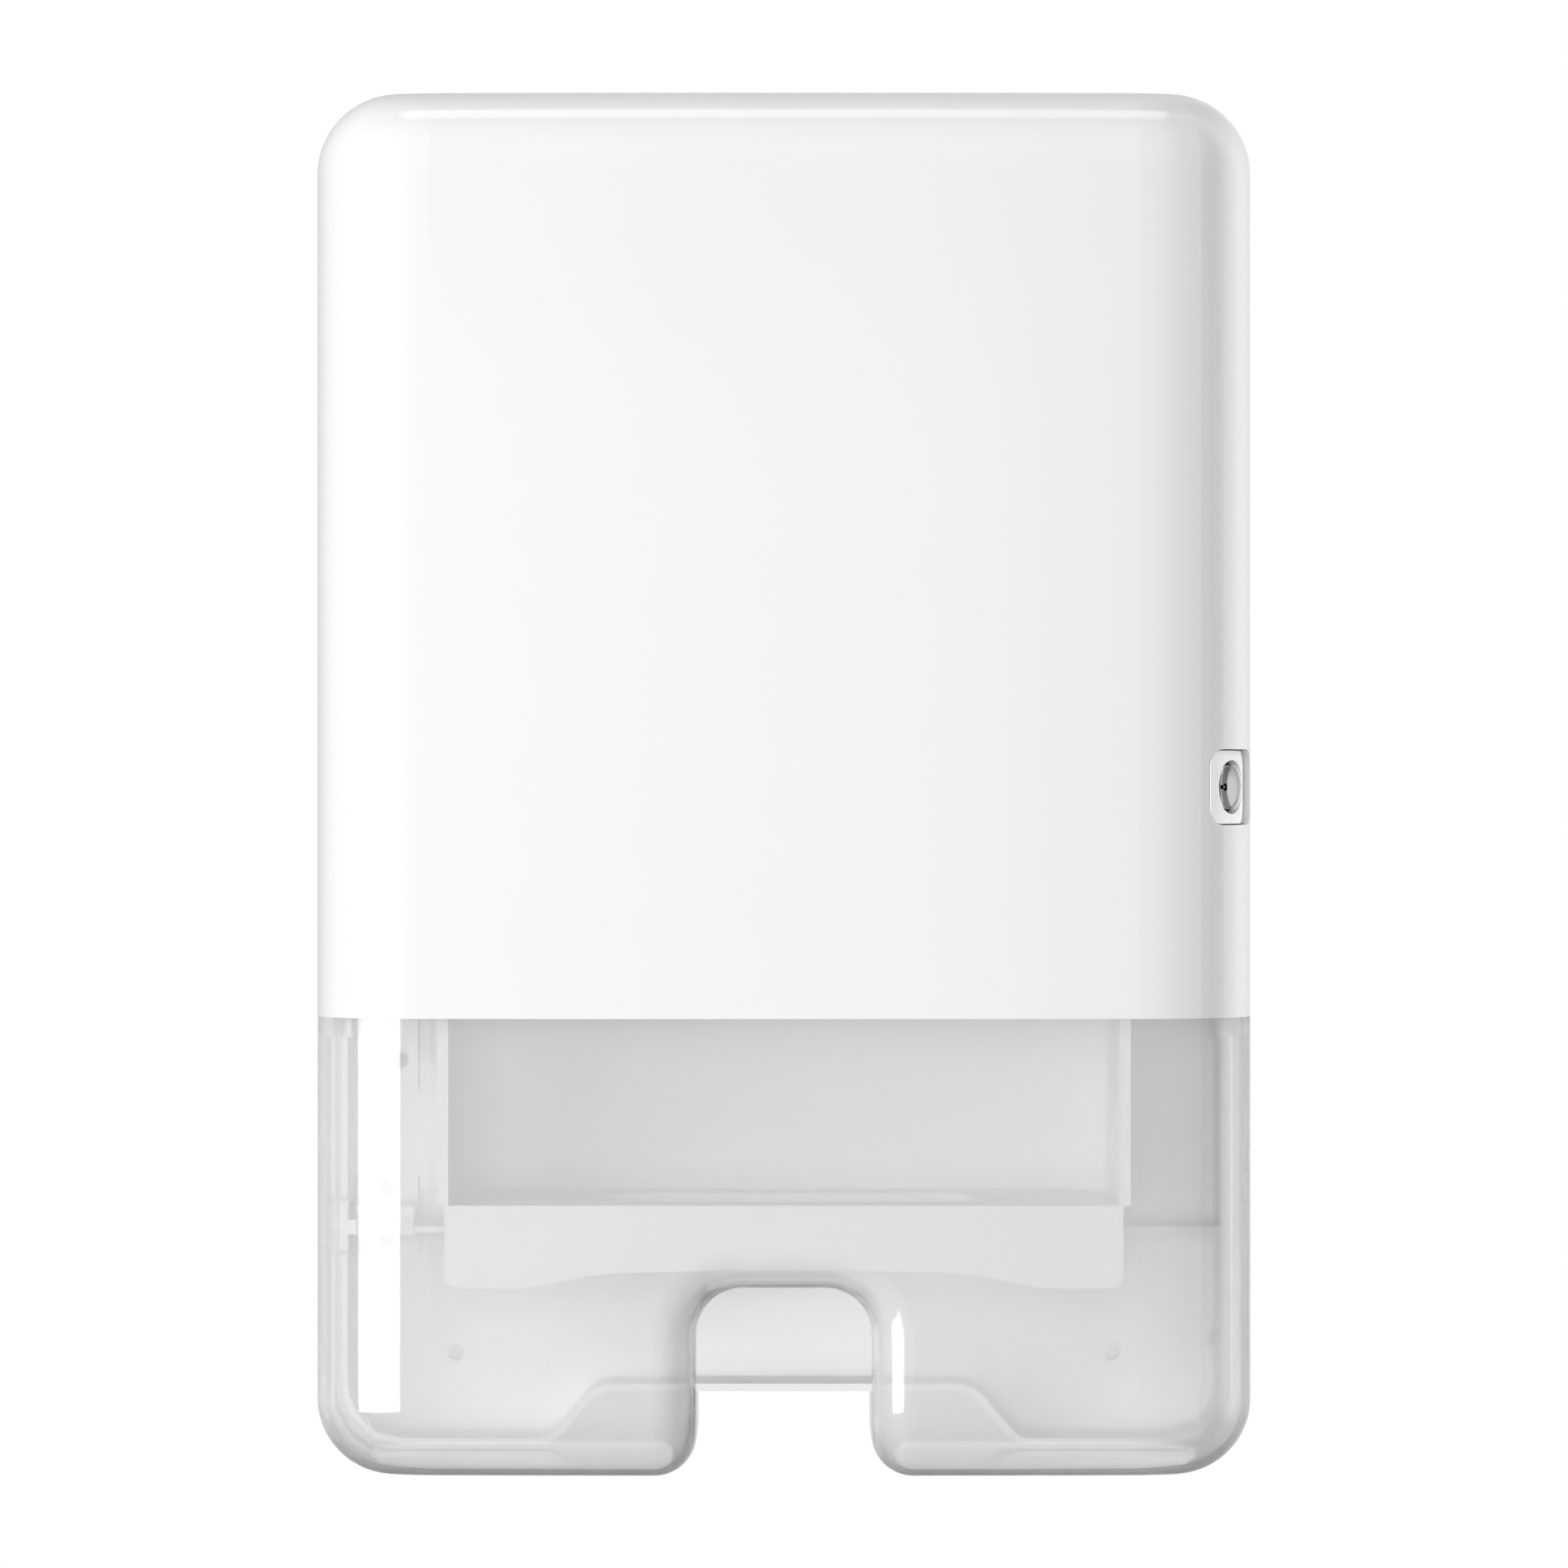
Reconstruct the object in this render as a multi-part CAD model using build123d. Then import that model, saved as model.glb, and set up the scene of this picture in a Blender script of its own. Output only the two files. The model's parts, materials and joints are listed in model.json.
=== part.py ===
from build123d import *
import math
import os

# Interfold towel dispenser for a wall. Sizes are in millimetres.
# X points right, Z points up and the front faces -Y. Depth is measured from the wall, so y = -depth.
# The origin lies on the wall plane, in the middle of the back.

# Overall size
TOWEL = 212.0               # width of the folded towels
TOWEL_GAP = 1.0             # on each side of them
SIDE_ROOM = 44.0            # from the magazine to the outside of the cover
HEIGHT = 444.0
DEPTH = 102.0
HALF_H = HEIGHT / 2
GUIDE_IN = TOWEL / 2 + TOWEL_GAP
HALF_W = GUIDE_IN + SIDE_ROOM

# Cover skin
RIM_DEPTH = 38.0            # rear edge of the cover
COVER_WALL = 2.5
DRAFT = 1.3                 # degrees, sides of the cover
TOP_CORNER = 26.0
BOTTOM_CORNER = 24.5
CROWN_R = 1700.0            # the front is flat in the middle, then turns in three tangent arcs
CROWN_TURN = 2.2            # degrees turned when the crown ends
SHOULDER_R = 60.0
SHOULDER_TURN = 22.0
SIDE_ROLL_R = 28.0
JOINT_Z = 147.4 - HALF_H    # line between white cover and window

# Window
CUT_HALF = 28.0
CUT_TOP = 61.0 - HALF_H
CUT_CORNER = 15.0
CUT_ROLL = 13.5
ARCH_DEPTH = DEPTH - 34.0   # the arch wall starts here, so towels hang free behind it
FLANGE = 2.0                # thickness of the flange behind the cover
FLANGE_RISE = 14.0
FLANGE_ROOT = 6.0
FLANGE_GAP = 0.15
CLAMP_RISE = 7.0            # height of the clamp screws above the joint
CLAMP_BACK = 15.8           # from the side roll back to the clamp screws
CLAMP_POST_R = 3.2
CLAMP_HEAD_R = 4.6
CLAMP_HEAD = 1.6
CLAMP_SKIN = 1.2            # skin left in front of a clamp post

# Rear housing
HOUSING_GAP = 1.5           # between housing wall and cover, all round
HOUSING_WALL = 2.5
HOUSING_SHORT = 2.0         # the housing's rim lies this far behind the cover's rim
HOUSING_CORNER = 24.0
PANEL_BACK = 6.0
PANEL = 2.5
RELIEF_HALF = 61.0          # raised part of the lower edge, for the hand
RELIEF_Z = 23.0 - HALF_H
RELIEF_RUN = 15.0
RELIEF_R = 9.0
WALL_HOLE_X = HALF_W - 42.3
WALL_HOLE_Z = HALF_H - 33.4
WALL_HOLE_R = 2.7
WALL_BOSS = 7.0
CENTRE_PAD = 12.0
RIB = 1.6
RIB_FOOT = 1.0              # the ribs stay this far off the wall
BACK_RIB_X = (-60.0, 60.0)
BACK_RIB_Z = (-100.0, 0.0, 100.0)
SHELF_RIB_DROP = 11.6       # under the top of the shelf
SHELF_RIB = 2.0
RIB_GAP = 0.3
LUG_Z = (37.4 - HALF_H, 41.4 - HALF_H)    # small chamfered lug inside the right wall
LUG_BACK = (12.0, 8.5)      # its chamfer, from the housing's rim
LUG = 3.5

# Magazine
GUIDE = 2.0
GUIDE_FRONT = DEPTH - 10.0
GUIDE_TOP = HALF_H - 47.0
GUIDE_FOOT = 14.0
GUIDE_LIP = 3.5
GUIDE_TAPER_Z = 40.0
GUIDE_TAPER_DEPTH = 34.0
GUIDE_SCREW_RISE = 164.4    # lower screws, above the shelf and clear of the slots
GUIDE_SCREW_IN = 55.0       # upper screws, from the top of the guides
GUIDE_SCREW_X = 9.5         # from the guide's inner face

# Stepped clip beside the left guide, and the slots in the left guide's foot.
# Their heights are counted from the top of the shelf.
CLIP_GAP = 0.4
CLIP_WIDTH = 9.6
CLIP_RAIL = 3.1
CLIP_BOTTOM = 32.9
CLIP_TOP = 104.4
CLIP_STEP = 43.4
CLIP_SCREW_IN = 10.0
SLOT_NEAR = 3.8             # edges of the slots, from the guide's inner face
SLOT_NARROW = 8.0
SLOT_WIDE = 10.5
SLOT_TAPER = (39.4, 44.9)
LONG_SLOT = (32.4, 104.4)
MIDDLE_SLOT = (28.8, 31.0)
LOW_SLOT = (21.8, 27.2)

# Shelf
SHELF_TOP = 87.6 - HALF_H
SHELF_FLOOR = 2.5
SHELF_SIDE = 1.2            # the shelf is this much wider than the magazine
LIP = 2.5
LIP_END_DROP = 26.4
LIP_MID_DROP = 19.6
LIP_KNEE = 20.2             # from the side of the shelf
OUTLET_HALF = 62.0
OUTLET_BACK = 30.0
OUTLET_FRONT = GUIDE_FRONT - 20.0
OUTLET_R = 14.0
COLLAR = 2.0
COLLAR_DROP = 5.0
CHEEK_BACK = 36.0
CHEEK_FOOT = 24.0
STIFFENER_X = 72.0
SHELF_SCREW_X = 84.0
SHELF_SCREW_DROP = 14.0

# Hinge
HINGE_IN = 10.0             # axis, in from the side of the cover
HINGE_BACK = 8.0            # axis, behind the rim of the cover
HINGE_Z = HALF_H - 79.0
PIN_R = 2.0
PIN_FIT = 0.03
EYE_FIT = 0.06
ARM_THICK = 4.8
ARM_GAP = 0.3
ARM_WIDTH = 5.5
ARM_SHORT = 3.8             # the arm ends this far behind the side roll
ARM_PAD = 20.0
ARM_PAD_HALF = 9.0
EYE_R = 4.2
FORK_PLATE = 2.0
FORK_BOSS_R = 4.5
FORK_GAP = 0.5              # between the bracket and the guide's foot
FORK_WEB = 10.0
FORK_FLANGE_HALF = 13.0
PIN_HEAD_R = 3.0
PIN_HEAD = 1.5
PIN_TAIL = 7.0
RING = 1.0
NOTCH = 7.0                 # how far the notch in the housing wall reaches behind the axis

# Lock
LOCK_IN = 10.5              # centre of the button, in from the side
LOCK_BACK = 17.8            # centre of the button, back from the front
LOCK_Z = -1.0
LOCK_ANGLE = 59.0           # degrees, from straight ahead to the button's axis
BUTTON = 23.4
BUTTON_CORNER = 5.0
BUTTON_PROUD = 3.2
BUTTON_FACE_R = 45.0
BUTTON_BODY = 9.0
BUTTON_GAP = 0.4
DISH_R = 8.6                # round recess for the key plug
DISH_DEPTH = 6.0
STEM_R = 6.5
STEM_GAP = 0.3
STEM_END = 24.5
STEM_GROOVE = 0.5
BARREL_R = 4.5
BARREL_FIT = 0.05
PLUG_HEAD_R = 7.1
PLUG_RIM = 1.9              # rim of the plug over the lock plane
PLUG_BOWL_R = 6.3
PLUG_BOWL_DEPTH = 1.4
KEYWAY_R = 1.3
KEYWAY_REACH = 4.2          # the keyway's slot runs this far from the middle
HOUSING_FLOOR = 20.0        # depth of the lock housing's floor under the lock plane
LOCK_WALL = 2.0
EAR_SEAT = 8.0
EAR = 2.5
EAR_Y = 19.5
EAR_HALF = 4.5
SPRING_R = 8.6
SPRING_WIRE = 1.2
SPRING_TURNS = 3
CAM = 2.0
CAM_R = 5.0
CAM_REACH = 10.0
CAM_WIDTH = 6.0
CAM_BOSS_R = 3.0
CAM_GAP = 0.2
CAM_HEAD_R = 3.4
CAM_HEAD = 1.8

# Latch. Depths are counted back from the lock's.
TONGUE = 1.6
TONGUE_GAP = 0.4            # between cam and tongue
TONGUE_HALF = 14.6
PRONG_SLOT = 7.0            # half the gap between the prongs
PRONG_ROOT = 24.5
NOSE_IN = 10.8              # nearest edge of nose and ledge to the lock's height
NOSE_REACH = 2.3
NOSE_EDGE = 1.2
NOSE = 5.2
LEDGE_BACK = 19.7
LEDGE = 4.5
LEDGE_GAP = 0.5
TONGUE_FOOT = 18.0
TONGUE_SCREW_Y = 9.5
GUSSET_RISE = 14.0
GUSSET_RUN = 8.0

# Screws
SCREW_R = 1.5
SCREW_FIT = 0.05
SCREW_CLEAR = 0.2
SCREW_HEAD_R = 3.0
SCREW_HEAD = 2.0
SCREW_TIP = 2.5             # depth of the tip of a screw in the back panel
BOSS_HALF = 3.6
BOSS_FLOOR = 1.0
POST_R = 3.6

# Worked out from the sizes above
HOUSING_DEPTH = RIM_DEPTH - HOUSING_SHORT
PANEL_FRONT = PANEL_BACK + PANEL
HOUSING_HALF_W = HALF_W - COVER_WALL - HOUSING_GAP
HOUSING_HALF_H = HALF_H - COVER_WALL - HOUSING_GAP
SHELF_HALF = GUIDE_IN + SHELF_SIDE
CLAMP_SEAT = COVER_WALL + FLANGE_GAP + FLANGE
CLIP_RIGHT = -GUIDE_IN - GUIDE_FOOT - CLIP_GAP
CLIP_LEFT = CLIP_RIGHT - CLIP_WIDTH
HINGE_X = HINGE_IN - HALF_W
HINGE_DEPTH = RIM_DEPTH - HINGE_BACK
FORK_HALF = ARM_THICK / 2 + ARM_GAP + FORK_PLATE
FORK_END = -GUIDE_IN - GUIDE_FOOT - FORK_GAP
ARM_LEFT = HINGE_X - ARM_WIDTH / 2
LOCK_X = HALF_W - LOCK_IN
LOCK_DEPTH = DEPTH - LOCK_BACK
SIN_LOCK = math.sin(math.radians(LOCK_ANGLE))
COS_LOCK = math.cos(math.radians(LOCK_ANGLE))
LOCK_PLANE = Plane(
    origin=(LOCK_X, -LOCK_DEPTH, LOCK_Z),
    x_dir=(COS_LOCK, SIN_LOCK, 0),
    z_dir=(SIN_LOCK, -COS_LOCK, 0),
)
TUBE_IN = BUTTON / 2 + BUTTON_GAP
TUBE_OUT = TUBE_IN + LOCK_WALL
CAM_TOP = STEM_END + CAM_GAP
CAM_BASE = CAM_TOP + CAM


def arc_walk(reach, turns, radii, inset):
    """Points of tangent arcs that start flat at the front and turn to the side, with their middles."""
    x, depth, points = reach, DEPTH, []
    for (start, end), radius in zip(turns, radii):
        centre_x = x - radius * math.sin(start)
        centre_depth = depth - radius * math.cos(start)
        for turn in (start, (start + end) / 2, end):
            along = radius - inset
            points.append((centre_x + along * math.sin(turn), centre_depth + along * math.cos(turn)))
        x = centre_x + radius * math.sin(end)
        depth = centre_depth + radius * math.cos(end)
    return points


TURNS = [math.radians(turn) for turn in (0, CROWN_TURN, SHOULDER_TURN, 90 - DRAFT)]
TURN_PAIRS = list(zip(TURNS, TURNS[1:]))
RADII = (CROWN_R, SHOULDER_R, SIDE_ROLL_R)
ROLL_X, ROLL_DEPTH = arc_walk(0, TURN_PAIRS, RADII, 0)[-1]
FLAT_HALF = HALF_W - math.tan(math.radians(DRAFT)) * (ROLL_DEPTH - RIM_DEPTH) - ROLL_X
ARM_END = ROLL_DEPTH - ARM_SHORT


def lock_point(along, out):
    """Plan position (x, depth) of a point given along and out of the button's face."""
    x = LOCK_X + out * SIN_LOCK + along * COS_LOCK
    depth = LOCK_DEPTH + out * COS_LOCK - along * SIN_LOCK
    return x, depth


TONGUE_X = lock_point(-CAM_WIDTH / 2, -CAM_BASE)[0] - TONGUE_GAP


def front_plane(depth):
    """Sketch plane that faces the room, at one depth."""
    return Plane(origin=(0, -depth, 0), x_dir=(1, 0, 0), z_dir=(0, -1, 0))


def block(x0, x1, depth0, depth1, z0, z1):
    """Box between two corners."""
    centre = Pos((x0 + x1) / 2, -(depth0 + depth1) / 2, (z0 + z1) / 2)
    return centre * Box(abs(x1 - x0), abs(depth1 - depth0), abs(z1 - z0))


def front_plate(face, depth0, depth1):
    """An outline drawn in x and z, between two depths."""
    return extrude(front_plane(depth0) * face, depth1 - depth0, dir=(0, -1, 0))


def plan_plate(points, z0, z1):
    """An outline drawn in x and depth, between two heights."""
    face = make_face(Polyline(*[(x, -depth) for x, depth in points], close=True))
    return extrude(Pos(0, 0, z0) * face, z1 - z0, dir=(0, 0, 1))


def bore(x, z, radius, depth0, depth1):
    """Round bar along the depth."""
    return front_plate(Pos(x, z) * Circle(radius), depth0, depth1)


def upright(x, depth, radius, z0, z1):
    """Round bar along the height."""
    return Pos(x, -depth, (z0 + z1) / 2) * Cylinder(radius, abs(z1 - z0))


def local(plane, shape, x=0.0, y=0.0, z=0.0):
    """A shape placed on a plane."""
    return plane.location * Pos(x, y, z) * shape


def bar(radius, low, high):
    """Round bar along the local z axis."""
    return Pos(0, 0, (low + high) / 2) * Cylinder(radius, high - low)


def small_bar(radius, low, high, sides=8):
    """Shank, pilot hole or post. They are many and small, so their round is kept to a few flats."""
    return Pos(0, 0, low) * extrude(RegularPolygon(radius, sides), high - low, dir=(0, 0, 1))


def small_bore(x, z, radius, depth0, depth1):
    """Hole for a screw, along the depth."""
    return local(front_plane(depth0), small_bar(radius, 0, depth1 - depth0), x, z)


def screw(length, radius=SCREW_R, head_radius=SCREW_HEAD_R, head=SCREW_HEAD):
    """Pan head screw whose head rests on the local plane."""
    top = small_bar(head_radius, 0, head, 12)
    top = chamfer(top.faces().sort_by(Axis.Z)[-1].edges(), head * 0.3)
    return top + small_bar(radius, -length, 0.1)


def on_highest(face):
    """The two highest corners of an outline."""
    return face.vertices().sort_by(Axis.Y)[-2:]


# Cover and window

def cover_prism(inset):
    """Body inside the cover's skin before its ends are rolled: one plan outline, carried up."""
    right = arc_walk(FLAT_HALF, TURN_PAIRS, RADII, inset)
    side = HALF_W - inset / math.cos(math.radians(DRAFT))
    halves = []
    for hand in (-1, 1):
        points = [(hand * x, -depth) for x, depth in right]
        halves += [ThreePointArc(*points[k:k + 3]) for k in (0, 3, 6)]
        halves.append(Line(points[-1], (hand * side, -RIM_DEPTH)))
    front = Line((-FLAT_HALF, inset - DEPTH), (FLAT_HALF, inset - DEPTH))
    back = Line((-side, -RIM_DEPTH), (side, -RIM_DEPTH))
    half_height = HALF_H - inset
    plan = Pos(0, 0, -half_height) * make_face([*halves, front, back])
    return extrude(plan, 2 * half_height, dir=(0, 0, 1))


def cover_body(inset):
    """The same body with its top and bottom edges rolled."""
    body = cover_prism(inset)
    for end, radius in ((1, TOP_CORNER), (-1, BOTTOM_CORNER)):
        at_end = body.edges().filter_by(lambda edge: edge.position_at(0.5).Z * end > HALF_H - inset - 0.1)
        rolled = at_end.filter_by(lambda edge: edge.position_at(0.5).Y < -RIM_DEPTH - 0.1)
        body = fillet(rolled, radius - inset)
    return body


def window_body(inset):
    """The rolled body with the finger cut-out, whose front edge rolls inwards."""
    half, top, low = CUT_HALF + inset, CUT_TOP + inset, -HEIGHT
    arch = make_face(Polyline((-half, low), (-half, top), (half, top), (half, low), close=True))
    arch = fillet(on_highest(arch), CUT_CORNER + inset)
    body = cover_body(inset) - front_plate(arch, 0, DEPTH + CUT_ROLL)
    rolled = []
    for edge in body.edges():
        box = edge.bounding_box()
        inside = max(-box.min.X, box.max.X) < half + 0.1 and box.max.Z < top + 0.1
        along_depth = box.size.X < 0.02 and box.size.Z < 0.02
        at_rim = box.size.Y < 0.05 and box.max.Y > -RIM_DEPTH - 0.05
        if inside and not along_depth and not at_rim:
            rolled.append(edge)
    return fillet(rolled, CUT_ROLL - inset)


def slab(z0, z1):
    """Everything between two heights."""
    return block(-2 * HALF_W, 2 * HALF_W, 0, 2 * DEPTH, z0, z1)


def side_half(depth):
    """Half the width of the cover at one depth of its sides."""
    return HALF_W - math.tan(math.radians(DRAFT)) * (depth - RIM_DEPTH)


def clamp_planes():
    """Places on the sides of the cover, over the screws that hold the window."""
    depth = ROLL_DEPTH - CLAMP_BACK
    places = [(hand, (hand * side_half(depth), -depth, JOINT_Z + CLAMP_RISE)) for hand in (-1, 1)]
    return [Plane(origin=place, x_dir=(0, 0, 1), z_dir=(hand, 0, 0)) for hand, place in places]


def arm_screw_planes(hinge_z):
    """Seats of the two screws in a hinge arm's pad, facing inwards."""
    depth = ARM_END - ARM_PAD / 2
    seat = ARM_LEFT + ARM_WIDTH / 2
    rise = ARM_PAD_HALF - SCREW_HEAD_R - 0.6
    return [
        Plane(origin=(seat, -depth, hinge_z + way * rise), x_dir=(0, 0, 1), z_dir=(1, 0, 0))
        for way in (-1, 1)
    ]


def arm_post(plane):
    """Post on the inside of the cover that a hinge arm's screw bites in."""
    wall = -side_half(-plane.origin.Y) + COVER_WALL / 2
    low, high = wall - plane.origin.X, ARM_LEFT - plane.origin.X
    post = local(plane, small_bar(POST_R, low, high))
    hole = local(plane, small_bar(SCREW_R + SCREW_FIT, low + 0.8, high))
    return post - hole


def lock_posts():
    """Two posts inside the cover for the lock housing's screws."""
    posts = []
    for way in (-1, 1):
        post = small_bar(POST_R, -EAR_SEAT, BUTTON_PROUD)
        hole = small_bar(SCREW_R + SCREW_FIT, -EAR_SEAT, -1)
        posts.append(local(LOCK_PLANE, post - hole, y=way * EAR_Y))
    return posts


def upper_cover(outer, inner):
    shell = (outer - inner) & slab(JOINT_Z, HEIGHT)
    hole = extrude(RectangleRounded(2 * TUBE_IN, 2 * TUBE_IN, BUTTON_CORNER + BUTTON_GAP), 20)
    shell -= local(LOCK_PLANE, hole, z=-EAR_SEAT)
    for plane in clamp_planes():
        shell += local(plane, small_bar(CLAMP_POST_R, -CLAMP_SEAT, -CLAMP_SKIN))
        shell -= local(plane, small_bar(SCREW_R + SCREW_FIT, -CLAMP_SEAT - 1, -CLAMP_SKIN - 0.3))
    for plane in arm_screw_planes(HINGE_Z):
        shell += arm_post(plane)
    for post in lock_posts():
        shell += post
    return shell


def lower_window():
    low = slab(-HEIGHT, JOINT_Z)
    flange_top = JOINT_Z + FLANGE_RISE
    root = JOINT_Z - FLANGE_ROOT
    outside = window_body(0) & low
    outside += cover_prism(COVER_WALL + FLANGE_GAP) & slab(JOINT_Z, flange_top)
    inside = window_body(COVER_WALL) & slab(-HEIGHT, root)
    inside += cover_prism(CLAMP_SEAT) & slab(root, flange_top)
    window = outside - inside
    arch = CUT_TOP - CUT_CORNER - COVER_WALL
    half = CUT_HALF + COVER_WALL + 0.5
    window -= block(-half, half, 0, ARCH_DEPTH, arch, CUT_TOP + COVER_WALL + 0.5)
    for plane in clamp_planes():
        window -= local(plane, small_bar(CLAMP_POST_R + SCREW_CLEAR, -CLAMP_SEAT - 2, 0))
    for plane in arm_screw_planes(-HINGE_Z):
        window += arm_post(plane)
    return window


def window_screws():
    length = CLAMP_SEAT - CLAMP_SKIN - 0.5
    shape = Rot(180, 0, 0) * screw(length, SCREW_R, CLAMP_HEAD_R, CLAMP_HEAD)
    return [local(plane, shape, z=-CLAMP_SEAT - FLANGE_GAP) for plane in clamp_planes()]


# Rear housing

def housing_outline():
    """Outline of the housing, with the lower edge raised in the middle for the hand."""
    w, h = HOUSING_HALF_W, HOUSING_HALF_H
    foot = RELIEF_HALF + RELIEF_RUN
    face = make_face(Polyline(
        (-w, -h), (-foot, -h), (-RELIEF_HALF, RELIEF_Z), (RELIEF_HALF, RELIEF_Z),
        (foot, -h), (w, -h), (w, h), (-w, h), close=True,
    ))
    corners = [v for v in face.vertices() if abs(v.X) > w - 1]
    face = fillet(corners, HOUSING_CORNER)
    relief = [v for v in face.vertices() if abs(v.X) < foot + 1 and v.Y < 0]
    return fillet(relief, RELIEF_R)


def guide_screws_at(hand):
    heights = (SHELF_TOP + GUIDE_SCREW_RISE, GUIDE_TOP - GUIDE_SCREW_IN)
    return [(hand * (GUIDE_IN + GUIDE_SCREW_X), z) for z in heights]


def shelf_screws_at():
    return [(x, SHELF_TOP - SHELF_SCREW_DROP) for x in (-SHELF_SCREW_X, SHELF_SCREW_X)]


def bracket_screws_at(hinge_z):
    rise = FORK_HALF + SCREW_HEAD_R + 1.2
    x = FORK_END - FORK_WEB
    return [(x, hinge_z - rise), (x, hinge_z + rise)]


def latch_screws_at():
    x = TONGUE_X + TONGUE_FOOT / 2
    return [(x, LOCK_Z - TONGUE_SCREW_Y), (x, LOCK_Z + TONGUE_SCREW_Y)]


def clip_screws_at():
    x = (CLIP_LEFT + CLIP_RIGHT - CLIP_RAIL) / 2
    low, high = SHELF_TOP + CLIP_BOTTOM, SHELF_TOP + CLIP_TOP
    return [(x, low + CLIP_SCREW_IN), (x, high - CLIP_SCREW_IN)]


def panel_screws():
    """All screws that go into the back panel."""
    places = guide_screws_at(-1) + guide_screws_at(1) + shelf_screws_at() + latch_screws_at()
    return places + bracket_screws_at(-HINGE_Z) + bracket_screws_at(HINGE_Z) + clip_screws_at()


def square_boss(x, z, half, depth):
    """Boss behind the back panel."""
    return block(x - half, x + half, depth, PANEL_BACK, z - half, z + half)


def rear_housing():
    outline = housing_outline()
    inner = offset(outline, amount=-HOUSING_WALL)
    housing = front_plate(outline, 0, HOUSING_DEPTH) - front_plate(inner, -1, HOUSING_DEPTH + 1)
    back = front_plate(inner, PANEL_BACK, PANEL_FRONT)
    for x in BACK_RIB_X:
        top = HOUSING_HALF_H - HOUSING_WALL
        back += block(x - RIB / 2, x + RIB / 2, RIB_FOOT, PANEL_BACK, RELIEF_Z, top)
    for z in BACK_RIB_Z:
        side = HOUSING_HALF_W - HOUSING_WALL
        back += block(-side, side, RIB_FOOT, PANEL_BACK, z - RIB / 2, z + RIB / 2)
    back += block(-CENTRE_PAD, CENTRE_PAD, 0, PANEL_BACK, -CENTRE_PAD, CENTRE_PAD)
    for x in (-WALL_HOLE_X, WALL_HOLE_X):
        for z in (-WALL_HOLE_Z, WALL_HOLE_Z):
            back += square_boss(x, z, WALL_BOSS, 0)
            back -= bore(x, z, WALL_HOLE_R, -1, PANEL_FRONT + 1)
    for x, z in panel_screws():
        back += square_boss(x, z, BOSS_HALF, BOSS_FLOOR)
        back -= small_bore(x, z, SCREW_R + SCREW_FIT, SCREW_TIP - 0.3, PANEL_FRONT + 1)
    housing += back
    wall_in = HOUSING_HALF_W - HOUSING_WALL
    shelf_side = SHELF_HALF + RIB_GAP
    high = SHELF_TOP - SHELF_RIB_DROP + SHELF_RIB / 2
    low = high - SHELF_RIB
    for x0, x1 in ((FORK_END + RIB_GAP, -shelf_side), (shelf_side, wall_in + 0.5)):
        housing += block(x0, x1, PANEL_FRONT - 0.5, HOUSING_DEPTH, low, high)
    lug_in, lug_root = wall_in - LUG, wall_in + 0.5
    chamfer_start, chamfer_end = (HOUSING_DEPTH - back for back in LUG_BACK)
    lug = [
        (lug_root, chamfer_start), (lug_in, chamfer_end), (lug_in, HOUSING_DEPTH),
        (lug_root, HOUSING_DEPTH),
    ]
    housing += plan_plate(lug, *LUG_Z)
    notch_half = FORK_HALF + ARM_GAP
    for z in (-HINGE_Z, HINGE_Z):
        behind = HINGE_DEPTH - NOTCH
        notch = block(-HALF_W, -wall_in + 0.4, behind, HOUSING_DEPTH + 1, -notch_half, notch_half)
        housing -= Pos(0, 0, z) * notch
    return housing


# Magazine and shelf

def side_guide(hand):
    inside, outside = GUIDE_IN, GUIDE_IN + GUIDE
    profile = [
        (inside, PANEL_FRONT), (inside, GUIDE_FRONT), (inside + GUIDE_LIP, GUIDE_FRONT),
        (inside + GUIDE_LIP, GUIDE_FRONT - GUIDE), (outside, GUIDE_FRONT - GUIDE),
        (outside, PANEL_FRONT + GUIDE), (inside + GUIDE_FOOT, PANEL_FRONT + GUIDE),
        (inside + GUIDE_FOOT, PANEL_FRONT),
    ]
    guide = plan_plate([(hand * x, depth) for x, depth in profile], SHELF_TOP, GUIDE_TOP)
    taper = Plane.YZ * make_face(Polyline(
        (-GUIDE_FRONT - 1, GUIDE_TOP + 1), (-GUIDE_FRONT - 1, GUIDE_TOP - GUIDE_TAPER_Z),
        (-GUIDE_FRONT + GUIDE_TAPER_DEPTH, GUIDE_TOP + 1), close=True,
    ))
    guide -= extrude(taper, HALF_W, both=True)
    for x, z in guide_screws_at(hand):
        guide -= small_bore(x, z, SCREW_R + SCREW_CLEAR, 0, PANEL_FRONT + 2 * GUIDE)
    return guide


def left_side_guide():
    """The left guide's foot has the slots that show beside the towels."""
    guide = side_guide(-1)
    wide, narrow, near = -GUIDE_IN - SLOT_WIDE, -GUIDE_IN - SLOT_NARROW, -GUIDE_IN - SLOT_NEAR
    low, high = LONG_SLOT
    taper_low, taper_high = SLOT_TAPER
    tapered = make_face(Polyline(
        (near, high), (near, low), (narrow, low), (narrow, taper_low), (wide, taper_high),
        (wide, high), close=True,
    ))
    through = PANEL_FRONT + 2 * GUIDE
    guide -= front_plate(Pos(0, SHELF_TOP) * tapered, 0, through)
    for z0, z1 in (MIDDLE_SLOT, LOW_SLOT):
        guide -= block(narrow, near, 0, through, SHELF_TOP + z0, SHELF_TOP + z1)
    return guide


def right_side_guide():
    """The right guide's foot leaves room for the latch tongue."""
    room = TONGUE_HALF + 3
    start = TONGUE_X - TONGUE - 1.5
    return side_guide(1) - block(start, HALF_W, 0, PANEL_FRONT + 2 * GUIDE, LOCK_Z - room, LOCK_Z + room)


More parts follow.
